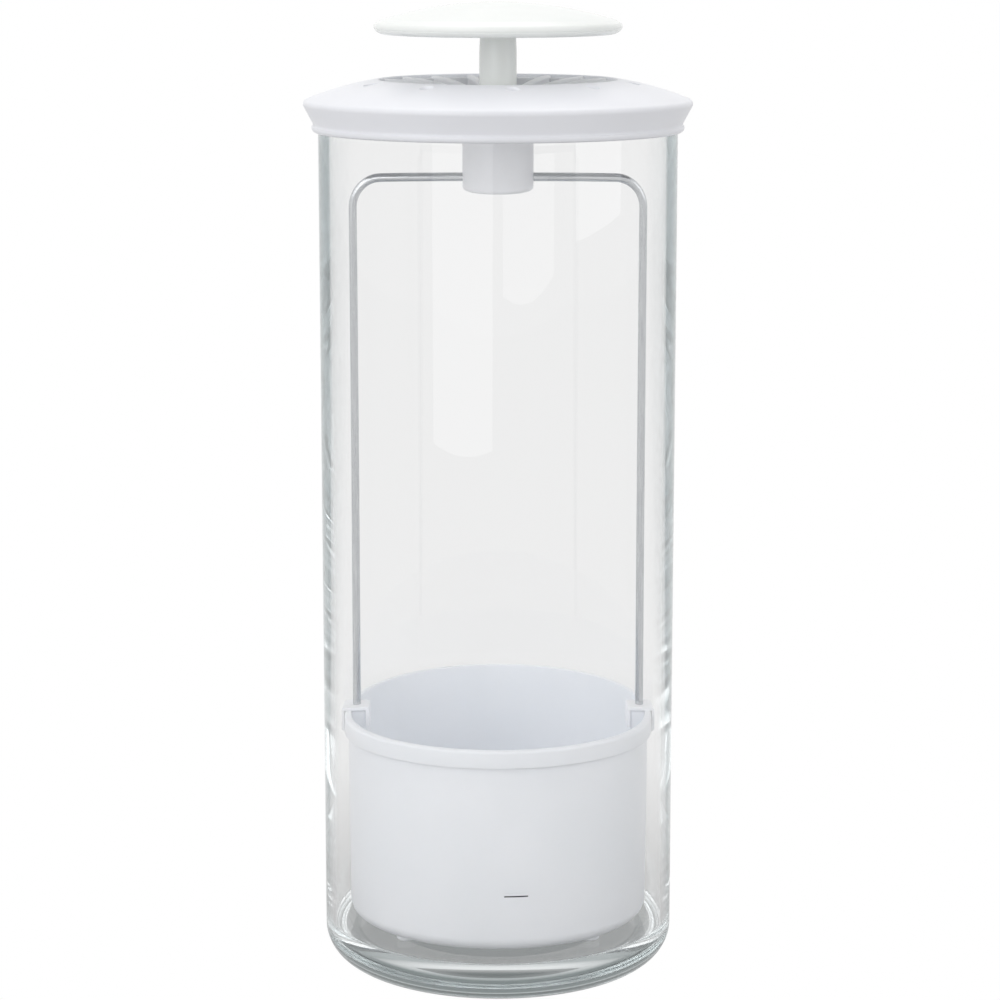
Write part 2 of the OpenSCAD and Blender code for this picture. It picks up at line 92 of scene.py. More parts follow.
def new_finish(name):
    """An empty node material."""
    finish = bpy.data.materials.new(name)
    finish.use_nodes = True
    finish.node_tree.nodes.clear()
    return finish


def sight(owner):
    """Is Camera Ray, and a 1 for all that the eye sees straight, in gloss or through glass."""
    path = add_node(owner, "ShaderNodeLightPath")
    seen_or_glossy = add_node(owner, "ShaderNodeMath", {"operation": "MAXIMUM"}, {
        0: path.outputs["Is Camera Ray"], 1: path.outputs["Is Glossy Ray"],
    })
    seen_or_clear = add_node(owner, "ShaderNodeMath", {"operation": "MAXIMUM"}, {
        0: seen_or_glossy.outputs[0], 1: path.outputs["Is Transmission Ray"],
    })
    return path.outputs["Is Camera Ray"], seen_or_clear.outputs[0]


floor_size = 9
painted_shadow_r = 70 * mm
pale_r = 180 * mm
painted_shadow_level = 0.55
pale_level = 0.86
white = (1, 1, 1, 1)
bpy.ops.object.select_all(action="DESELECT")
bpy.ops.mesh.primitive_plane_add(size=floor_size, location=(0, 0, 0))
studio_floor = bpy.context.object
studio_floor.name = "studio_floor"
paper = new_finish("white_studio_paper")
seen, seen_or_clear = sight(paper)
foot_place = add_node(paper, "ShaderNodeNewGeometry")
from_axis = add_node(
    paper, "ShaderNodeVectorMath", {"operation": "LENGTH"}, {0: foot_place.outputs["Position"]}
)
# Painted shadow round the foot: in gloss and glass, the floor's glow dims towards the jar's axis.
painted_foot_shadow = add_node(paper, "ShaderNodeMapRange", inputs={
    "Value": from_axis.outputs["Value"], "From Min": painted_shadow_r, "From Max": pale_r,
    "To Min": painted_shadow_level, "To Max": pale_level,
})
glow_level = add_node(paper, "ShaderNodeMapRange", inputs={
    "Value": seen, "To Min": painted_foot_shadow.outputs[0], "To Max": 1.0,
})
matte = add_node(paper, "ShaderNodeBsdfDiffuse", inputs={"Color": linear("#D2D2D2")})
glow = add_node(
    paper, "ShaderNodeEmission", inputs={"Color": white, "Strength": glow_level.outputs[0]}
)
mixed = add_node(paper, "ShaderNodeMixShader", inputs={
    0: seen_or_clear, 1: matte.outputs[0], 2: glow.outputs[0],
})
add_node(paper, "ShaderNodeOutputMaterial", inputs={"Surface": mixed.outputs[0]})
studio_floor.data.materials.append(paper)

world = bpy.data.worlds.new("white_surround")
world.use_nodes = True
world.node_tree.nodes.clear()
bpy.context.scene.world = world
surround_level = 0.56
level = add_node(world, "ShaderNodeMapRange", inputs={
    "Value": sight(world)[1], "To Min": surround_level, "To Max": 1.0,
})
surround = add_node(
    world, "ShaderNodeBackground", inputs={"Color": white, "Strength": level.outputs[0]}
)
add_node(world, "ShaderNodeOutputWorld", inputs={"Surface": surround.outputs[0]})

# each lamp's place, its side in metres and its watts
soft_lamps = {
    "lamp_left": ((-0.95, -0.75, 0.85), 1.2, 4.5),
    "lamp_right": ((1.0, -0.45, 0.55), 0.73, 1.7),
    "lamp_top": ((0.0, 0.25, 1.25), 1.14, 4.1),
    "lamp_front": ((-0.55, -1.35, 0.32), 1.01, 3.2),
}
jar_middle = Vector((0, 0, 140 * mm))
for lamp_name, (place, size, watts) in soft_lamps.items():
    bpy.ops.object.light_add(type="AREA", location=place)
    lamp = bpy.context.object
    lamp.name = lamp_name
    lamp.data.size = size
    lamp.data.energy = watts
    lamp.rotation_euler = (jar_middle - lamp.location).to_track_quat("-Z", "Y").to_euler()
bpy.context.scene.view_settings.view_transform = "Standard"
glass_bounces = 160
light_paths = bpy.context.scene.cycles
light_paths.max_bounces = glass_bounces
light_paths.glossy_bounces = glass_bounces
light_paths.transmission_bounces = glass_bounces
light_paths.diffuse_bounces = 8


# Glass jar: soda-lime glass, blown into a mould, with a thick base, a fire-polished lip and a
# shallow hollow underneath. Its wall is clear, with faint long waves from the blowing. Its body
# absorbs a faint grey-green, and its foot is painted with grey-green shade, which stands in for the
# dark seen through the thick base.
def arc(x, z, radius, start, end, steps):
    """Points on an arc, from angle start to angle end in degrees."""
    turns = [radians(start + (end - start) * i / steps) for i in range(steps + 1)]
    return [(x + radius * cos(a), z + radius * sin(a)) for a in turns]


def turned(name, outline, steps=160, crease=35):
    """Draws an outline of (radius, height) points one by one and spins it round the Z axis."""
    bpy.ops.object.select_all(action="DESELECT")
    bpy.ops.mesh.primitive_plane_add(size=mm, location=(0, 0, 0))
    piece = bpy.context.object
    piece.name = piece.data.name = name
    bpy.ops.object.mode_set(mode="EDIT")
    bpy.ops.mesh.merge(type="CENTER")
    bpy.ops.transform.translate(value=(outline[0][0], 0, outline[0][1]))
    for (r0, z0), (r1, z1) in zip(outline, outline[1:]):
        bpy.ops.mesh.extrude_region_move(TRANSFORM_OT_translate={"value": (r1 - r0, 0, z1 - z0)})
    bpy.ops.mesh.select_all(action="SELECT")
    bpy.ops.mesh.spin(steps=steps, angle=2 * pi, center=(0, 0, 0), axis=(0, 0, 1))
    bpy.ops.mesh.select_all(action="SELECT")
    bpy.ops.mesh.remove_doubles(threshold=0.002 * mm)
    bpy.ops.mesh.delete_loose()
    bpy.ops.mesh.select_all(action="SELECT")
    bpy.ops.mesh.normals_make_consistent(inside=False)
    bpy.ops.object.mode_set(mode="OBJECT")
    bpy.ops.object.shade_smooth_by_angle(angle=radians(crease))
    return piece


def fit(piece, body, slot, finish, *nodes):
    """Gives a piece its finish, lets it ride its body and stand for its CAD nodes."""
    piece.data.materials.clear()
    piece.data.materials.append(finish)
    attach(piece, body)
    if nodes:
        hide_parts(*nodes)
    return piece


jar_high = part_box("glass_jar")[1]
jar_r = jar_high[0]
jar_h = jar_high[2]
jar_wall = 2.2 * mm
bore_r = jar_r - jar_wall
lip_r = jar_wall / 2
base_t = 12 * mm
foot_r = 10 * mm
floor_r = 1 * mm
floor_crown = 0.5 * mm
punt_r = 31 * mm
punt_depth = 0.9 * mm
wave_size = 1000 * mm / 14
wave_stretch = 0.35
painted_shade_z = base_t - 3 * mm
clear_wall_z = base_t - 0.5 * mm

soda_glass = new_finish("soda_lime_glass")
place = add_node(soda_glass, "ShaderNodeTexCoord")
stretch = add_node(soda_glass, "ShaderNodeMapping", inputs={
    "Vector": place.outputs["Object"], "Scale": (1, 1, wave_stretch),
})
waves = add_node(soda_glass, "ShaderNodeTexNoise", inputs={
    "Vector": stretch.outputs[0], "Scale": 1 / wave_size, "Detail": 1, "Roughness": 0.4,
})
wavy = add_node(soda_glass, "ShaderNodeBump", inputs={
    "Strength": 0.02, "Distance": 0.4 * mm, "Height": waves.outputs[0],
})
# Painted shade in the foot: the surface colour turns grey-green below the base's top, for the dark
# seen through the thick glass; above it the glass is clear white.
height = add_node(soda_glass, "ShaderNodeSeparateXYZ", inputs={0: place.outputs["Object"]})
above_foot = add_node(soda_glass, "ShaderNodeMapRange", inputs={
    "Value": height.outputs["Z"], "From Min": painted_shade_z, "From Max": clear_wall_z,
})
body = add_node(soda_glass, "ShaderNodeValToRGB", inputs={0: above_foot.outputs[0]})
body.color_ramp.elements[0].color = linear("#8E9595")
body.color_ramp.elements[1].color = linear("#FFFFFF")
glass = add_node(soda_glass, "ShaderNodeBsdfPrincipled", inputs={
    "Base Color": body.outputs[0], "Roughness": 0.0, "IOR": 1.52, "Transmission Weight": 1.0,
    "Normal": wavy.outputs[0],
})
body_tint = add_node(
    soda_glass, "ShaderNodeVolumeAbsorption", inputs={"Color": linear("#95AAAE"), "Density": 3.0}
)
add_node(soda_glass, "ShaderNodeOutputMaterial", inputs={
    "Surface": glass.outputs[0], "Volume": body_tint.outputs[0],
})

punt = [(punt_r * i / 10, punt_depth * (1 - (i / 10) ** 2)) for i in range(11)]
floor_dome = []
for i in range(1, 9):
    out = 1 - i / 8
    floor_dome.append(((bore_r - floor_r) * out, base_t + floor_crown * (1 - out ** 2)))
jar_outline = (
    punt
    + arc(jar_r - foot_r, foot_r, foot_r, -90, 0, 20)
    + arc(jar_r - lip_r, jar_h - lip_r, lip_r, 0, 180, 12)
    + arc(bore_r - floor_r, base_t + floor_r, floor_r, 0, -90, 12)
    + floor_dome
)
jar = turned("jar_glass", jar_outline, steps=256, crease=80)
jar.visible_shadow = False
fit(jar, "jar", "clear_glass", soda_glass, "glass_jar")


# Fill mark: black ceramic enamel, screen-printed and fired on to the front of the glass, satin and
# finely pored. One short level line stands at the highest water level.
mark_z = 32.4 * mm
ink_lift = 0.02 * mm
ink_t = 0.03 * mm
line_left = 1.7 * mm
line_w = 6.6 * mm
line_t = 0.36 * mm
pore_size = mm / 2.6

enamel = new_finish("fired_black_enamel")
place = add_node(enamel, "ShaderNodeTexCoord")
pores = add_node(enamel, "ShaderNodeTexNoise", inputs={
    "Vector": place.outputs["Object"], "Scale": 1 / pore_size, "Detail": 2,
})
depth = add_node(enamel, "ShaderNodeValToRGB", inputs={0: pores.outputs[0]})
depth.color_ramp.elements[0].color = linear("#101214")
depth.color_ramp.elements[1].color = linear("#2A2C30")
ink = add_node(enamel, "ShaderNodeBsdfPrincipled", inputs={
    "Base Color": depth.outputs[0], "Roughness": 0.38, "IOR": 1.5,
})
add_node(enamel, "ShaderNodeOutputMaterial", inputs={"Surface": ink.outputs[0]})

bpy.ops.object.select_all(action="DESELECT")
bpy.ops.mesh.primitive_cube_add(size=1, location=(0, 0, 0))
line = bpy.context.object
line.name = line.data.name = "fill_mark_line"
bpy.ops.object.mode_set(mode="EDIT")
bpy.ops.transform.resize(value=(line_w, ink_t, line_t))
bpy.ops.mesh.subdivide(number_cuts=11)
bpy.ops.object.mode_set(mode="OBJECT")
for v in line.data.vertices:
    along = line_left + line_w / 2 + v.co.x
    out = jar_r + ink_lift + ink_t / 2 - v.co.y
    v.co = (out * sin(along / jar_r), -out * cos(along / jar_r), mark_z + v.co.z)
line.data.materials.append(enamel)
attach(line, "jar")


# Liner: the lid's inner moulding, a satin ABS ring pressed up into the skirt. Its flange rests on
# the glass, and its short plug ring, hidden behind the skirt, has a groove for the seal.
def moulded_plastic(name, code, shade_code, low_gloss, high_gloss, grain, relief):
    """Moulded plastic: slow flow marks in colour and gloss, and the mould's grain in relief. The
    real grain is finer, and is drawn this coarse so that it shows."""
    flow_size = 1000 * mm / 34
    finish = new_finish(name)
    place = add_node(finish, "ShaderNodeTexCoord")
    flow = add_node(finish, "ShaderNodeTexNoise", inputs={
        "Vector": place.outputs["Object"], "Scale": 1 / flow_size, "Detail": 3,
    })
    tone = add_node(finish, "ShaderNodeValToRGB", inputs={0: flow.outputs[0]})
    tone.color_ramp.elements[0].position = 0.3
    tone.color_ramp.elements[0].color = linear(shade_code)
    tone.color_ramp.elements[1].position = 0.7
    tone.color_ramp.elements[1].color = linear(code)
    gloss = add_node(finish, "ShaderNodeMapRange", inputs={
        "Value": flow.outputs[0], "From Min": 0.3, "From Max": 0.7,
        "To Min": low_gloss, "To Max": high_gloss,
    })
    texture = add_node(finish, "ShaderNodeTexNoise", inputs={
        "Vector": place.outputs["Object"], "Scale": 1 / grain, "Detail": 2,
    })
    skin = add_node(finish, "ShaderNodeBump", inputs={
        "Strength": relief, "Distance": 0.05 * mm, "Height": texture.outputs[0],
    })
    plastic = add_node(finish, "ShaderNodeBsdfPrincipled", inputs={
        "Base Color": tone.outputs[0], "Roughness": gloss.outputs[0], "IOR": 1.5,
        "Subsurface Weight": 0.08, "Subsurface Radius": (1.0, 0.95, 0.9),
        "Subsurface Scale": 1.2 * mm, "Normal": skin.outputs[0],
    })
    add_node(finish, "ShaderNodeOutputMaterial", inputs={"Surface": plastic.outputs[0]})
    return finish


inner_abs = moulded_plastic("satin_moulded_abs", "#E9EAEC", "#E4E5E8", 0.38, 0.5, 0.7 * mm, 0.25)
liner_low, liner_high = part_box("lid_liner")
lid_low, lid_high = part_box("lid_shell")
lid_z = lid_low[2]
seal_low, seal_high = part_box("lid_seal")
rest_gap = 0.3 * mm
flange_t = 1.6 * mm
plug_room = 1.4 * mm
plug_wall = 2.2 * mm
seat_z = jar_h + rest_gap
flange_z = seat_z + flange_t
flange_r = liner_high[0]
groove_depth = 1.0 * mm
plug_r = bore_r - plug_room
plug_in_r = plug_r - plug_wall
plug_low_z = liner_low[2]
plug_top_z = liner_high[2]
lead_in = 0.5 * mm
soft_edge = 0.3 * mm
liner_outline = (
    arc(plug_in_r + soft_edge, plug_top_z - soft_edge, soft_edge, 90, 180, 4)
    + arc(plug_in_r + lead_in, plug_low_z + lead_in, lead_in, 180, 270, 5)
    + arc(plug_r - lead_in, plug_low_z + lead_in, lead_in, 270, 360, 5)
    + [(plug_r, seal_low[2]), (plug_r - groove_depth, seal_low[2])]
    + [(plug_r - groove_depth, seal_high[2]), (plug_r, seal_high[2])]
    + [(plug_r, seat_z), (flange_r, seat_z), (flange_r, flange_z), (plug_r, flange_z)]
    + arc(plug_r - soft_edge, plug_top_z - soft_edge, soft_edge, 0, 90, 4)
    + [(plug_in_r + soft_edge, plug_top_z)]
)
liner = turned("lid_plug_ring", liner_outline)
fit(liner, "lid", "inner_plastic", inner_abs, "lid_liner")


# Seal: a soft ring of clear silicone with one lip, stretched into the plug ring's groove. It is
# moulded, then tumbled, which leaves it matt and a little milky.
cloud_size = 100 * mm / 12

milky_silicone = new_finish("milky_silicone")
place = add_node(milky_silicone, "ShaderNodeTexCoord")
cloud = add_node(milky_silicone, "ShaderNodeTexNoise", inputs={
    "Vector": place.outputs["Object"], "Scale": 1 / cloud_size, "Detail": 4,
})
milk = add_node(milky_silicone, "ShaderNodeValToRGB", inputs={0: cloud.outputs[0]})
milk.color_ramp.elements[0].color = linear("#D3D8D7")
milk.color_ramp.elements[1].color = linear("#E2E6E5")
bloom = add_node(milky_silicone, "ShaderNodeMapRange", inputs={
    "Value": cloud.outputs[0], "To Min": 0.42, "To Max": 0.6,
})
dust = add_node(milky_silicone, "ShaderNodeBump", inputs={
    "Strength": 0.2, "Distance": 0.05 * mm, "Height": cloud.outputs[0],
})
rubber = add_node(milky_silicone, "ShaderNodeBsdfPrincipled", inputs={
    "Base Color": milk.outputs[0], "Roughness": bloom.outputs[0], "IOR": 1.42,
    "Subsurface Weight": 0.35, "Subsurface Radius": (1.0, 1.0, 1.0), "Subsurface Scale": 2 * mm,
    "Normal": dust.outputs[0],
})
add_node(milky_silicone, "ShaderNodeOutputMaterial", inputs={"Surface": rubber.outputs[0]})

fit_gap = 0.03 * mm
lip_out = seal_high[0]
lip_z = (seal_low[2] + seal_high[2]) / 2
lip_tip = 0.2 * mm
lip_root = 0.6 * mm
seal_r = plug_r + 0.25 * mm
seal_in_r = plug_r - groove_depth + fit_gap
seal_outline = (
    [(seal_in_r, seal_low[2]), (seal_r, seal_low[2]), (seal_r, lip_z - lip_root)]
    + arc(lip_out - lip_tip, lip_z, lip_tip, -70, 70, 6)
    + [(seal_r, lip_z + lip_root), (seal_r, seal_high[2])]
    + [(seal_in_r, seal_high[2]), (seal_in_r, seal_low[2])]
)
seal = turned("seal_ring", seal_outline)
fit(seal, "lid", "silicone", milky_silicone, "lid_seal")


# Lid shell: white ABS from a polished mould, which leaves a soft shine. A low dome rises to a
# ring-shaped crest, rolls over at the rim and runs in to a short beaded skirt round the glass. Ten
# round vents ring the crest.
lid_abs = moulded_plastic("gloss_white_abs", "#F3F4F9", "#EFF0F5", 0.3, 0.38, 0.8 * mm, 0.12)
crest_z = lid_high[2]
crest_r = 33 * mm
crest_round = 0.5 * mm
dome_r = 85 * mm
dome_axis_r = crest_r - 12 * mm
rim_r = 1.3 * mm
under_slope = 28
skirt_r = jar_r + 1.8 * mm
skirt_in_r = jar_r + 0.35 * mm
skirt_round = 1.2 * mm
skirt_neck_r = skirt_r - 0.4 * mm
cove_r = 0.8 * mm
cove_end = 205
bead_start = 20
skirt_lead = 0.15 * mm
lid_wall = 2.2 * mm
shoulder_z = crest_z - 0.9 * mm
grille_r = crest_r + 1.4 * mm
grille_ring_h = 4 * mm
vent_count = 10
vent_r = crest_r + 5.3 * mm
vent_hole_r = 1.65 * mm
vent_turn = radians(6 - 90)

crest_reach = crest_r + crest_round - dome_axis_r
dome_z = crest_z - crest_round - sqrt((dome_r - crest_round) ** 2 - crest_reach ** 2)
rim_axis_r = lid_high[0] - rim_r
rim_reach = rim_axis_r - dome_axis_r
rim_z = dome_z + sqrt((dome_r - rim_r) ** 2 - rim_reach ** 2)
rim_turn = degrees(acos(rim_reach / (dome_r - rim_r)))
crest_turn = degrees(acos(crest_reach / (dome_r - crest_round)))
under_r = rim_axis_r + rim_r * cos(radians(under_slope))
under_z = rim_z - rim_r * sin(radians(under_slope))
cove_top_r = skirt_neck_r + cove_r * (1 - cos(radians(under_slope)))
cove_top_z = under_z - (under_r - cove_top_r) / tan(radians(under_slope))
cove_z = cove_top_z - cove_r * sin(radians(under_slope))
keeper_wall = 1.6 * mm
keeper_in_r = plug_r + fit_gap
keeper_out_r = keeper_in_r + keeper_wall
pocket_z = rim_z + 0.3 * mm
collar_in_r = grille_r + fit_gap
collar_out_r = collar_in_r + keeper_wall
inner_dome = []
for i in range(7):
    r = keeper_in_r + (collar_out_r - keeper_in_r) * i / 6
    inner_dome.append((r, dome_z + sqrt((dome_r - lid_wall) ** 2 - (r - dome_axis_r) ** 2)))
lid_outline = (
    [(crest_r, shoulder_z)]
    + arc(crest_r + crest_round, crest_z - crest_round, crest_round, 180, crest_turn, 6)
    + arc(dome_axis_r, dome_z, dome_r, crest_turn, rim_turn, 24)[1:]
    + arc(rim_axis_r, rim_z, rim_r, rim_turn, -under_slope, 12)[1:]
    + arc(skirt_neck_r + cove_r, cove_z, cove_r, 180 - under_slope, cove_end, 7)
    + arc(skirt_r - skirt_round, lid_z + skirt_round, skirt_round, bead_start, -90, 9)
    + [(skirt_in_r + skirt_lead, lid_z), (skirt_in_r, lid_z + skirt_lead)]
    + [(skirt_in_r, pocket_z), (keeper_out_r, pocket_z)]
    + [(keeper_out_r, flange_z), (keeper_in_r, flange_z)]
    + inner_dome
    + [(collar_out_r, shoulder_z - grille_ring_h), (collar_in_r, shoulder_z - grille_ring_h)]
    + [(collar_in_r, shoulder_z), (crest_r, shoulder_z)]
)
lid = turned("domed_lid", lid_outline, steps=240)


def carve(piece, tool, how="DIFFERENCE", crease=35):
    """Cuts a tool out of a piece, or adds it, and clears the tool away."""
    bpy.ops.object.select_all(action="DESELECT")
    bpy.context.view_layer.objects.active = piece
    piece.select_set(True)
    step = piece.modifiers.new(how.lower(), "BOOLEAN")
    step.operation = how
    step.solver = "EXACT"
    step.object = tool
    bpy.ops.object.modifier_apply(modifier=step.name)
    bpy.data.objects.remove(tool)
    bpy.ops.object.shade_smooth_by_angle(angle=radians(crease))


def ringed(name, tool, count, first_turn):
    """Copies a tool round the Z axis and joins the copies to one object."""
    bpy.ops.object.select_all(action="DESELECT")
    copies = []
    for i in range(count):
        copy = tool.copy()
        copy.data = tool.data.copy()
        bpy.context.collection.objects.link(copy)
        copy.rotation_euler = (0, 0, first_turn + 2 * pi * i / count)
        copy.select_set(True)
        copies.append(copy)
    bpy.context.view_layer.objects.active = copies[0]
    bpy.ops.object.join()
    bpy.ops.object.transform_apply(location=True, rotation=True, scale=True)
    bpy.data.objects.remove(tool)
    copies[0].name = name
    return copies[0]


def moved(piece, offset):
    """Moves a piece's mesh in edit mode, so that its object stays at the origin."""
    bpy.ops.object.mode_set(mode="EDIT")
    bpy.ops.mesh.select_all(action="SELECT")
    bpy.ops.transform.translate(value=offset)
    bpy.ops.object.mode_set(mode="OBJECT")
    return piece


vent_top_z = dome_z + sqrt(dome_r ** 2 - (vent_r - dome_axis_r) ** 2)
vent_low_z = lid_z + 6 * mm
vent_flare = 0.75 * mm
vent_ease = 0.12 * mm
vent_past = 3 * vent_flare
vent_tool = turned("vent_tool", [
    (0, vent_low_z), (vent_hole_r, vent_low_z), (vent_hole_r, vent_top_z - vent_flare),
    (vent_hole_r + vent_ease, vent_top_z - vent_flare / 3),
    (vent_hole_r + vent_past, vent_top_z + vent_past), (0, vent_top_z + vent_past),
], steps=40)
moved(vent_tool, (vent_r, 0, 0))
carve(lid, ringed("vent_tools", vent_tool, vent_count, vent_turn))
fit(lid, "lid", "lid_plastic", lid_abs, "lid_shell")


# Vent grille: a dished satin moulding of the same white ABS, welded under the crest. Its colour is
# painted a little greyer than the lid's, as shade in the hollow under the crest. Round-topped ribs
# run from its outer ring down to the hub round the post, and air passes between them.
# Painted shade: the grille's white is set greyer than the lid's, for its shaded recess.
grille_abs = moulded_plastic("grille_abs_painted_shade", "#E6E7E9", "#E0E1E4", 0.3, 0.42, 0.7 * mm, 0.2)
rib_count = 18
rib_turn = radians(14 - 90)
rib_w = 2.4 * mm
rib_h = 3.6 * mm
rib_slope = radians(8.5)
rib_curl = 1.7
rib_round = 0.9 * mm
hub_r = 10.5 * mm
bush_low, bush_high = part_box("stem_bush")
stem_r = 5.2 * mm
slide_gap = 0.05 * mm
bush_wall = 1.4 * mm
bush_in_r = stem_r + slide_gap
bush_r = bush_in_r + bush_wall
rib_top_z = crest_z - 0.35 * mm
hub_top_z = rib_top_z - (crest_r - hub_r) * tan(rib_slope)
hub_z = bush_low[2]
ring_in_r = grille_r - 3.2 * mm

grille_low_z = shoulder_z - grille_ring_h
grille = turned("ribbed_vent_grille", [
    (grille_r, shoulder_z), (grille_r, grille_low_z), (ring_in_r, grille_low_z),
    (ring_in_r, shoulder_z - soft_edge), (ring_in_r + soft_edge, shoulder_z),
    (grille_r, shoulder_z),
])
hub = turned("hub", [
    (hub_r - soft_edge, hub_top_z), (hub_r, hub_top_z - soft_edge), (hub_r, hub_z + soft_edge),
    (hub_r - soft_edge, hub_z), (bush_r, hub_z), (bush_r, hub_top_z),
    (hub_r - soft_edge, hub_top_z),
])
rib_in_r = hub_r - 1 * mm
rib_out_r = crest_r - fit_gap


def rib_centre_z(r):
    """Height of a rib's centre line at radius r: level at the crest, then falling to the hub."""
    inward = (crest_r - r) / (crest_r - hub_r)
    return rib_top_z - rib_h / 2 - (rib_top_z - hub_top_z) * inward ** rib_curl


rib_steps = [rib_in_r + (rib_out_r - rib_in_r) * i / 12 for i in range(13)]
rib_line = [(r, rib_centre_z(r)) for r in rib_steps]
bpy.ops.object.select_all(action="DESELECT")
bpy.ops.mesh.primitive_plane_add(size=1, location=(0, 0, 0))
rib = bpy.context.object
bpy.ops.object.mode_set(mode="EDIT")
bpy.ops.transform.resize(value=(rib_h, rib_w, 1))
bpy.ops.transform.rotate(value=pi / 2, orient_axis="Y", center_override=(0, 0, 0))
bpy.ops.transform.translate(value=(rib_line[0][0], 0, rib_line[0][1]))
for (r0, z0), (r1, z1) in zip(rib_line, rib_line[1:]):
    bpy.ops.mesh.extrude_region_move(TRANSFORM_OT_translate={"value": (r1 - r0, 0, z1 - z0)})
bpy.ops.mesh.select_all(action="SELECT")
bpy.ops.mesh.normals_make_consistent(inside=False)
bpy.ops.mesh.select_mode(type="EDGE")
bpy.ops.mesh.select_all(action="DESELECT")
bpy.ops.object.mode_set(mode="OBJECT")
shortest_run = 0.5 * mm
for edge in rib.data.edges:
    ends = [rib.data.vertices[i].co for i in edge.vertices]
    runs_out = abs(ends[0].x - ends[1].x) > shortest_run
    edge.select = runs_out and all(end.z > rib_centre_z(end.x) for end in ends)
bpy.ops.object.mode_set(mode="EDIT")
bpy.ops.mesh.bevel(offset=rib_round, segments=5, affect="EDGES")
bpy.ops.mesh.select_mode(type="VERT")
bpy.ops.object.mode_set(mode="OBJECT")
carve(grille, hub, "UNION")
carve(grille, ringed("ribs", rib, rib_count, rib_turn), "UNION")
fit(grille, "lid", "lid_plastic", grille_abs, "vent_grille")


# Bush: natural acetal, turned and left with its waxy shine, and pressed into the hub with its thin
# flange on top. The post slides in it.
acetal = moulded_plastic("natural_acetal", "#F3F3EF", "#EFEFEA", 0.29, 0.35, 1.4 * mm, 0.08)
bush_flange_r = bush_high[0]
bush_top_z = bush_high[2]
bore_lead = 0.25 * mm
bush = turned("flanged_bush", [
    (bush_in_r, hub_z + bore_lead), (bush_in_r + bore_lead, hub_z),
    (bush_r - bore_lead, hub_z), (bush_r, hub_z + bore_lead),
    (bush_r, hub_top_z), (bush_flange_r, hub_top_z),
    *arc(bush_flange_r - soft_edge, bush_top_z - soft_edge, soft_edge, 0, 90, 4),
    (bush_in_r + bore_lead, bush_top_z), (bush_in_r, bush_top_z - bore_lead),
    (bush_in_r, hub_z + bore_lead),
], steps=96)
fit(bush, "lid", "inner_plastic", acetal, "stem_bush")


# Knob: two shells of white ABS, moulded to a full gloss. The domed top shell drops over the under
# shell, whose edge curls up to meet it, and their seam runs round as a fine groove.
knob_abs = moulded_plastic("knob_white_abs", "#FCFEFC", "#F8FBF8", 0.2, 0.26, 0.9 * mm, 0.08)
cap_low, cap_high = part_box("grip_cap")
base_low, base_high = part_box("grip_base")
grip_r = cap_high[0]
grip_z = base_low[2]
seam_z = cap_low[2]
grip_top_z = cap_high[2]
grip_edge_h = 3.4 * mm
grip_wall = 2 * mm
grip_round = 1.2 * mm
seam_groove = 0.16 * mm
grip_base_t = 2.4 * mm
boss_r = 7 * mm
boss_top_z = base_high[2]
spigot_r = 3.2 * mm
inner_base_z = grip_z + grip_base_t + fit_gap
grip_edge_z = grip_z + grip_edge_h
grip_rise = grip_top_z - grip_edge_z
grip_dome_r = (grip_r ** 2 + grip_rise ** 2) / (2 * grip_rise)
dome_turn = degrees(acos((grip_r - grip_round) / (grip_dome_r - grip_round)))
dome_centre_z = grip_top_z - grip_dome_r
inner_reach = grip_r - grip_wall
under_in = 3.4 * mm
under_h = grip_edge_h - grip_round
seam_turn = degrees(asin((seam_z - grip_z) / under_h - 1))
groove_turn = degrees(seam_groove / under_h)


def under_edge(start, end, steps):
    """Points on the knob's rounded under edge, from angle start to angle end in degrees."""
    turns = [radians(start + (end - start) * i / steps) for i in range(steps + 1)]
    return [(grip_r - under_in * (1 - cos(a)), grip_z + under_h * (1 + sin(a))) for a in turns]


seam_line_r = under_edge(seam_turn, 0, 1)[0][0] - seam_groove
under_dome = []
for i in range(13):
    r = inner_reach * i / 12
    inner_dome_z = dome_centre_z + sqrt((grip_dome_r - grip_wall) ** 2 - r ** 2)
    under_dome.append((r, max(inner_dome_z, inner_base_z)))
cap_outline = (
    [(inner_reach, seam_z), (seam_line_r, seam_z)]
    + under_edge(seam_turn + groove_turn, 0, 4)[:-1]
    + arc(grip_r - grip_round, grip_edge_z - grip_round, grip_round, 0, dome_turn, 10)
    + arc(0, dome_centre_z, grip_dome_r, dome_turn, 90, 28)[1:]
    + under_dome
    + [(inner_reach, seam_z)]
)
knob_top = turned("knob_top_shell", cap_outline, steps=240, crease=50)
fit(knob_top, "core", "knob_plastic", knob_abs, "grip_cap")

tongue_r = inner_reach - fit_gap
boss_bore_r = spigot_r + fit_gap
knob_under = turned("knob_under_shell", [
    (boss_bore_r, grip_z),
    *under_edge(-90, seam_turn - groove_turn, 14),
    (seam_line_r, seam_z), (tongue_r, seam_z), (tongue_r, grip_z + grip_base_t),
    (boss_r, grip_z + grip_base_t), (boss_r, boss_top_z),
    (boss_bore_r, boss_top_z), (boss_bore_r, grip_z),
], steps=240)
fit(knob_under, "core", "knob_plastic", knob_abs, "grip_base")


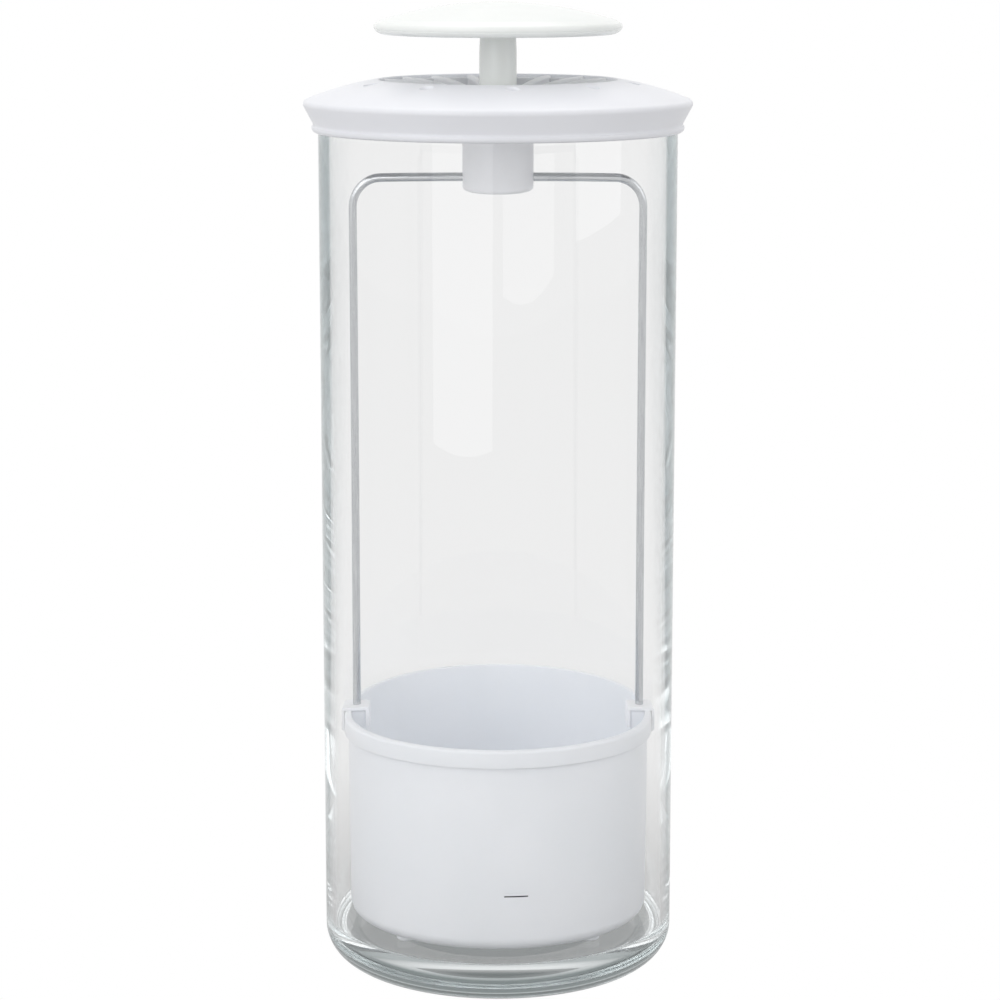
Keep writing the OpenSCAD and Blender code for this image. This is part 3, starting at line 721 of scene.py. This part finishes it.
# Post: the knob's glossy white ABS, straight where it slides in the bush and a little waisted under
# the knob. It is drilled at both ends for its screws, and its spigot stands in the knob's boss.
stem_low, stem_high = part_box("stem")
stem_seat_z = stem_low[2]
stem_neck_r = 4.95 * mm
neck_h = 7 * mm
tip_lead = 0.4 * mm
screw_bore_r = 2.02 * mm
spigot_top_z = stem_high[2]
lower_bore_z = stem_seat_z + 9.5 * mm
upper_bore_z = grip_z - 6.6 * mm
drill_tip = 0.8 * mm
waist = []
for i in range(15):
    share = i / 14
    waist.append((stem_r - (stem_r - stem_neck_r) * share ** 2, grip_z - neck_h * (1 - share)))
stem = turned("post", [
    (screw_bore_r, stem_seat_z), (stem_r - tip_lead, stem_seat_z), (stem_r, stem_seat_z + tip_lead),
    *waist,
    (spigot_r, grip_z), (spigot_r, spigot_top_z),
    (screw_bore_r, spigot_top_z), (screw_bore_r, upper_bore_z), (0, upper_bore_z - drill_tip),
    (0, lower_bore_z + drill_tip), (screw_bore_r, lower_bore_z), (screw_bore_r, stem_seat_z),
], steps=128)
fit(stem, "core", "knob_plastic", knob_abs, "stem")


# Stop washer: soft silicone, cut from a tube, lying on the clamp. It meets the hub when the knob is
# pulled, so that the lid comes up without a knock.
washer_low, washer_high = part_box("bumper_washer")
washer_in_r = stem_r + fit_gap
washer_edge = 0.2 * mm
washer_flat_r = washer_high[0] - washer_edge
stop_washer = turned("stop_washer", [
    (washer_in_r, washer_low[2]), (washer_flat_r, washer_low[2]),
    *arc(washer_flat_r, washer_low[2] + washer_edge, washer_edge, -90, 0, 3),
    *arc(washer_flat_r, washer_high[2] - washer_edge, washer_edge, 0, 90, 3),
    (washer_in_r, washer_high[2]), (washer_in_r, washer_low[2]),
], steps=96)
fit(stop_washer, "core", "silicone", milky_silicone, "bumper_washer")


# Clamp: two halves of satin white ABS, moulded and screwed together round the wire. The upper half
# seats the post, and the screw up into the post sits in its pocket.
def rod(name, radius, length, along, centre, sides=48):
    """A plain cylinder along X or Z, its mesh moved to its place."""
    turn = {"X": (0, pi / 2, 0), "Z": (0, 0, 0)}[along]
    bpy.ops.object.select_all(action="DESELECT")
    bpy.ops.mesh.primitive_cylinder_add(
        vertices=sides, radius=radius, depth=length, location=centre, rotation=turn
    )
    piece = bpy.context.object
    piece.name = piece.data.name = name
    bpy.ops.object.transform_apply(location=True, rotation=True, scale=True)
    return piece


clamp_abs = moulded_plastic("clamp_white_abs", "#EDEEF1", "#E8E9ED", 0.32, 0.44, 0.7 * mm, 0.18)
yoke_low, yoke_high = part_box("yoke")
yoke_r = yoke_high[0]
wire_z = yoke_low[2]
yoke_top_z = yoke_high[2]
yoke_edge = 0.5 * mm
wire_r = 1.2 * mm
groove_r = wire_r + fit_gap
groove_l = 3 * yoke_r
head_pocket_r = 4.2 * mm
head_pocket_z = stem_seat_z - 2 * mm
clamp_screw_y = yoke_r - 3.4 * mm
clamp_bore_r = 1.52 * mm
clamp_hole_z = stem_seat_z - 1 * mm
screw_hole_r = screw_bore_r + 0.08 * mm
past = 1 * mm

yoke = turned("clamp_upper_half", [
    (0, wire_z), (yoke_r, wire_z),
    *arc(yoke_r - yoke_edge, yoke_top_z - yoke_edge, yoke_edge, 0, 90, 5),
    (washer_in_r + tip_lead, yoke_top_z), (washer_in_r, yoke_top_z - tip_lead),
    (washer_in_r, stem_seat_z),
    (screw_hole_r, stem_seat_z), (screw_hole_r, head_pocket_z), (0, head_pocket_z),
], steps=128)
pocket_place = (0, 0, (head_pocket_z + wire_z - past) / 2)
carve(yoke, rod("pocket_tool", head_pocket_r, head_pocket_z - wire_z + past, "Z", pocket_place))
carve(yoke, rod("wire_groove_tool", groove_r, groove_l, "X", (0, 0, wire_z)))
for side in (-1, 1):
    bore_place = (0, side * clamp_screw_y, (clamp_hole_z + wire_z - past) / 2)
    carve(yoke, rod("screw_bore_tool", clamp_bore_r, clamp_hole_z - wire_z + past, "Z", bore_place))
fit(yoke, "core", "inner_plastic", clamp_abs, "yoke")

cap_low_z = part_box("yoke_cap")[0][2]
cap_edge = 1.2 * mm
clamp_head_r = 2.69 * mm
clamp_head_h = 1.5 * mm
shank_bore_r = 1.6 * mm
yoke_cap = turned("clamp_lower_half", [
    (0, cap_low_z),
    *arc(yoke_r - cap_edge, cap_low_z + cap_edge, cap_edge, -90, 0, 8),
    (yoke_r, wire_z), (0, wire_z),
], steps=128)
carve(yoke_cap, rod("wire_groove_tool", groove_r, groove_l, "X", (0, 0, wire_z)))
shank_bore_l = wire_z - cap_low_z + 2 * past
for side in (-1, 1):
    bore_place = (0, side * clamp_screw_y, (cap_low_z + wire_z) / 2)
    carve(yoke_cap, rod("shank_bore_tool", shank_bore_r, shank_bore_l, "Z", bore_place))
    head_place = (0, side * clamp_screw_y, cap_low_z + (clamp_head_h - past) / 2)
    carve(yoke_cap, rod("counterbore_tool", clamp_head_r, clamp_head_h + past, "Z", head_place))
fit(yoke_cap, "core", "inner_plastic", clamp_abs, "yoke_cap")


# Screws and the knob's washer: zinc-plated steel, rolled and plated in bulk, which leaves a mottled
# grey sheen. Their CAD shapes stay, with a rounding that catches the light along their edges.
patch_size = 10 * mm / 9
plated_steel = new_finish("zinc_plated_steel")
place = add_node(plated_steel, "ShaderNodeTexCoord")
patches = add_node(plated_steel, "ShaderNodeTexNoise", inputs={
    "Vector": place.outputs["Object"], "Scale": 1 / patch_size, "Detail": 5,
})
sheen = add_node(plated_steel, "ShaderNodeValToRGB", inputs={0: patches.outputs[0]})
sheen.color_ramp.elements[0].color = linear("#A9ADB3")
sheen.color_ramp.elements[1].color = linear("#C6C9CC")
dull = add_node(plated_steel, "ShaderNodeMapRange", inputs={
    "Value": patches.outputs[0], "To Min": 0.29, "To Max": 0.42,
})
soft_corner = add_node(plated_steel, "ShaderNodeBevel", {"samples": 4}, {"Radius": 0.15 * mm})
plating = add_node(plated_steel, "ShaderNodeBsdfPrincipled", inputs={
    "Base Color": sheen.outputs[0], "Metallic": 1.0, "Roughness": dull.outputs[0],
    "Normal": soft_corner.outputs[0],
})
add_node(plated_steel, "ShaderNodeOutputMaterial", inputs={"Surface": plating.outputs[0]})
for name in ("grip_washer", "grip_screw", "stem_screw", "yoke_screw_front", "yoke_screw_rear"):
    kept = bpy.data.objects[name]
    for slot in kept.material_slots:
        slot.material = plated_steel


# Wire frame: one length of stainless wire, drawn bright and bent to a U that hangs from the clamp.
# Its ends are barrelled smooth and stand in the cup's sockets. The die leaves fine lines along it,
# drawn coarser than they are so that they show.
frame_low, frame_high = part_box("wire_frame")
leg_x = frame_high[0] - wire_r
leg_low_z = frame_low[2]
bend_r = 8 * mm
end_round = 0.4 * mm
bar_half = leg_x - bend_r
leg_top_z = wire_z - bend_r
line_pitch = mm / 5.2
line_stretch = 0.02

drawn_wire = new_finish("drawn_stainless_wire")
place = add_node(drawn_wire, "ShaderNodeTexCoord")
upright = add_node(drawn_wire, "ShaderNodeMapping", inputs={
    "Vector": place.outputs["Object"], "Scale": (1, 1, line_stretch),
})
level_run = add_node(drawn_wire, "ShaderNodeMapping", inputs={
    "Vector": place.outputs["Object"], "Scale": (line_stretch, 1, 1),
})
leg_lines = add_node(drawn_wire, "ShaderNodeTexNoise", inputs={
    "Vector": upright.outputs[0], "Scale": 1 / line_pitch, "Detail": 3,
})
bar_lines = add_node(drawn_wire, "ShaderNodeTexNoise", inputs={
    "Vector": level_run.outputs[0], "Scale": 1 / line_pitch, "Detail": 3,
})
height = add_node(drawn_wire, "ShaderNodeSeparateXYZ", inputs={0: place.outputs["Object"]})
on_bar = add_node(drawn_wire, "ShaderNodeMapRange", inputs={
    "Value": height.outputs["Z"], "From Min": leg_top_z, "From Max": wire_z - wire_r,
})
lines = add_node(drawn_wire, "ShaderNodeMix", {"data_type": "FLOAT"}, {
    0: on_bar.outputs[0], 2: leg_lines.outputs[0], 3: bar_lines.outputs[0],
})
wire_tone = add_node(drawn_wire, "ShaderNodeValToRGB", inputs={0: lines.outputs[0]})
wire_tone.color_ramp.elements[0].position = 0.3
wire_tone.color_ramp.elements[0].color = linear("#AEB1B5")
wire_tone.color_ramp.elements[1].position = 0.7
wire_tone.color_ramp.elements[1].color = linear("#CFD1D3")
wire_gloss = add_node(drawn_wire, "ShaderNodeMapRange", inputs={
    "Value": lines.outputs[0], "To Min": 0.15, "To Max": 0.26,
})
wire_relief = add_node(drawn_wire, "ShaderNodeBump", inputs={
    "Strength": 0.2, "Distance": 0.03 * mm, "Height": lines.outputs[0],
})
stainless = add_node(drawn_wire, "ShaderNodeBsdfPrincipled", inputs={
    "Base Color": wire_tone.outputs[0], "Metallic": 1.0, "Roughness": wire_gloss.outputs[0],
    "Normal": wire_relief.outputs[0],
})
add_node(drawn_wire, "ShaderNodeOutputMaterial", inputs={"Surface": stainless.outputs[0]})

bpy.ops.object.select_all(action="DESELECT")
bpy.ops.mesh.primitive_circle_add(
    vertices=32, radius=wire_r - end_round, fill_type="NGON", location=(0, 0, 0)
)
wire = bpy.context.object
wire.name = wire.data.name = "bent_wire"
leg_start_z = leg_low_z + end_round
flare = wire_r / (wire_r - end_round)
bpy.ops.object.mode_set(mode="EDIT")
bpy.ops.mesh.select_all(action="SELECT")
bpy.ops.transform.translate(value=(-leg_x, 0, leg_low_z))
bpy.ops.mesh.extrude_region_move(TRANSFORM_OT_translate={"value": (0, 0, end_round)})
bpy.ops.transform.resize(value=(flare, flare, 1), center_override=(-leg_x, 0, leg_start_z))
bpy.ops.mesh.extrude_region_move(TRANSFORM_OT_translate={"value": (0, 0, leg_top_z - leg_start_z)})
bpy.ops.mesh.spin(steps=14, angle=-pi / 2, center=(-bar_half, 0, leg_top_z), axis=(0, 1, 0))
bpy.ops.mesh.extrude_region_move(TRANSFORM_OT_translate={"value": (2 * bar_half, 0, 0)})
bpy.ops.mesh.spin(steps=14, angle=-pi / 2, center=(bar_half, 0, leg_top_z), axis=(0, 1, 0))
bpy.ops.mesh.extrude_region_move(TRANSFORM_OT_translate={"value": (0, 0, leg_start_z - leg_top_z)})
bpy.ops.mesh.extrude_region_move(TRANSFORM_OT_translate={"value": (0, 0, -end_round)})
bpy.ops.transform.resize(value=(1 / flare, 1 / flare, 1), center_override=(leg_x, 0, leg_low_z))
bpy.ops.mesh.select_all(action="SELECT")
bpy.ops.mesh.normals_make_consistent(inside=False)
bpy.ops.object.mode_set(mode="OBJECT")
bpy.ops.object.shade_smooth_by_angle(angle=radians(40))
fit(wire, "core", "stainless_wire", drawn_wire, "wire_frame")


# Cup: white polypropylene with a satin skin, moulded with a band round its rim, four small feet,
# drain holes in the floor and two sockets inside the wall for the wire's ends.
cup_pp = moulded_plastic("cup_polypropylene", "#F1F3F7", "#ECEFF3", 0.36, 0.48, 0.8 * mm, 0.2)
cup_low, cup_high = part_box("cup")
cup_r = cup_high[0]
rim_top_z = cup_high[2]
foot_z = cup_low[2]
cup_z = foot_z + 1.7 * mm
cup_floor_z = cup_z + 2 * mm
cup_bore_r = cup_r - 2 * mm
wall_r = cup_r - 1.2 * mm
wall_low_r = wall_r - 0.5 * mm
wall_in_low_r = wall_low_r - 1.8 * mm
band_h = 5 * mm
band_z = rim_top_z - band_h
band_edge = 0.3 * mm
top_round = 0.8 * mm
corner_r = 4 * mm
in_corner_r = 2.6 * mm
bore_end_z = band_z - 1 * mm
cup_outline = (
    [(0, cup_z)]
    + arc(wall_low_r - corner_r, cup_z + corner_r, corner_r, -90, 0, 12)
    + [(wall_r, band_z), (cup_r - band_edge, band_z)]
    + arc(cup_r - band_edge, band_z + band_edge, band_edge, -90, 0, 4)
    + arc(cup_r - top_round, rim_top_z - top_round, top_round, 0, 90, 8)
    + [(cup_bore_r + band_edge, rim_top_z)]
    + arc(cup_bore_r + band_edge, rim_top_z - band_edge, band_edge, 90, 180, 4)
    + [(cup_bore_r, bore_end_z)]
    + arc(wall_in_low_r - in_corner_r, cup_floor_z + in_corner_r, in_corner_r, 0, -90, 10)
    + [(0, cup_floor_z)]
)
cup = turned("drained_cup", cup_outline, steps=240)

foot_count = 4
cup_foot_r = 3 * mm
foot_edge = 0.4 * mm
foot_top_z = cup_z + 0.8 * mm
foot_ring_r = wall_low_r - corner_r - cup_foot_r
foot_bar = turned("foot", [
    (0, foot_z), (cup_foot_r - foot_edge, foot_z), (cup_foot_r, foot_z + foot_edge),
    (cup_foot_r, foot_top_z), (0, foot_top_z),
], steps=40)
moved(foot_bar, (foot_ring_r, 0, 0))
carve(cup, ringed("feet", foot_bar, foot_count, pi / foot_count), "UNION")

socket_z = rim_top_z - 12 * mm
lug_low_z = socket_z - 2 * mm
lug_top_z = rim_top_z - 0.3 * mm
lug_in_x = leg_x - wire_r - 1.7 * mm
lug_out_x = cup_bore_r + 0.2 * mm
lug_w = 6.2 * mm
lug_round = 0.6 * mm
lug_size = (lug_out_x - lug_in_x, lug_w, lug_top_z - lug_low_z)
bpy.ops.object.select_all(action="DESELECT")
bpy.ops.mesh.primitive_cube_add(size=1, location=(0, 0, 0))
lug = bpy.context.object
bpy.ops.object.mode_set(mode="EDIT")
bpy.ops.transform.resize(value=lug_size)
bpy.ops.transform.translate(value=((lug_in_x + lug_out_x) / 2, 0, (lug_low_z + lug_top_z) / 2))
bpy.ops.mesh.bevel(offset=lug_round, segments=4, affect="EDGES")
bpy.ops.object.mode_set(mode="OBJECT")
leg_count = 2
carve(cup, ringed("lugs", lug, leg_count, 0), "UNION")

socket_r = wire_r + fit_gap
socket_lead_z = lug_top_z - 0.3 * mm
socket_past_r = socket_r + 0.9 * mm
socket_past_z = lug_top_z + 0.6 * mm
socket_tool = turned("socket_tool", [
    (0, socket_z), (socket_r, socket_z), (socket_r, socket_lead_z),
    (socket_past_r, socket_past_z), (0, socket_past_z),
], steps=32)
moved(socket_tool, (leg_x, 0, 0))
carve(cup, ringed("socket_tools", socket_tool, leg_count, 0))

drain_r = 2 * mm
drain_pitch = 14 * mm
drains_in_first_ring = 6
drain_flare_z = cup_floor_z - 0.25 * mm
drain_outline = [
    (0, cup_z - past), (drain_r, cup_z - past), (drain_r, drain_flare_z),
    (drain_r + past, drain_flare_z + past), (0, drain_flare_z + past),
]
carve(cup, turned("drain_tool", drain_outline, steps=32))
for ring_number in (1, 2):
    drain_tool = turned("drain_tool", drain_outline, steps=32)
    moved(drain_tool, (ring_number * drain_pitch, 0, 0))
    carve(cup, ringed("drain_tools", drain_tool, drains_in_first_ring * ring_number, 0))
fit(cup, "core", "cup_plastic", cup_pp, "cup")


# Leg clips: small saddles of the lid's white ABS pushed over the cup's rim, each with a hole that
# keeps the wire's leg upright in its socket.
clip_abs = moulded_plastic("clip_white_abs", "#F4F5F8", "#EFF0F4", 0.29, 0.37, 0.7 * mm, 0.12)
clip_w = 7.6 * mm
clip_t = 0.9 * mm
clip_in_x = lug_in_x - fit_gap
clip_out_x = cup_r + fit_gap
clip_foot_z = band_z - clip_t - fit_gap
clip_toe = 0.4 * mm
clip_low_z = rim_top_z - 5 * mm
clip_top_z = rim_top_z + clip_t
clip_round = 0.7 * mm
clip_outline = (
    [(clip_in_x - clip_t, clip_low_z), (clip_in_x, clip_low_z)]
    + [(clip_in_x, rim_top_z), (clip_out_x, rim_top_z)]
    + [(clip_out_x, clip_foot_z), (clip_out_x + clip_t, clip_foot_z + clip_toe)]
    + arc(clip_out_x + clip_t - clip_round, clip_top_z - clip_round, clip_round, 0, 90, 4)
    + arc(clip_in_x - clip_t + clip_round, clip_top_z - clip_round, clip_round, 90, 180, 4)
)
for side, node in ((-1, "left_leg_clip"), (1, "right_leg_clip")):
    bpy.ops.object.select_all(action="DESELECT")
    bpy.ops.mesh.primitive_plane_add(size=mm, location=(0, 0, 0))
    clip = bpy.context.object
    clip.name = clip.data.name = node + "_saddle"
    bpy.ops.object.mode_set(mode="EDIT")
    bpy.ops.mesh.merge(type="CENTER")
    bpy.ops.transform.translate(value=(side * clip_outline[0][0], -clip_w / 2, clip_outline[0][1]))
    for (x0, z0), (x1, z1) in zip(clip_outline, clip_outline[1:]):
        step = (side * (x1 - x0), 0, z1 - z0)
        bpy.ops.mesh.extrude_region_move(TRANSFORM_OT_translate={"value": step})
    bpy.ops.mesh.select_all(action="SELECT")
    bpy.ops.mesh.edge_face_add()
    bpy.ops.mesh.extrude_region_move(TRANSFORM_OT_translate={"value": (0, clip_w, 0)})
    bpy.ops.mesh.select_all(action="SELECT")
    bpy.ops.mesh.normals_make_consistent(inside=False)
    bpy.ops.object.mode_set(mode="OBJECT")
    carve(clip, rod("leg_hole_tool", socket_r, 4 * clip_t, "Z", (side * leg_x, 0, rim_top_z)))
    fit(clip, "core", "cup_plastic", clip_abs, node)
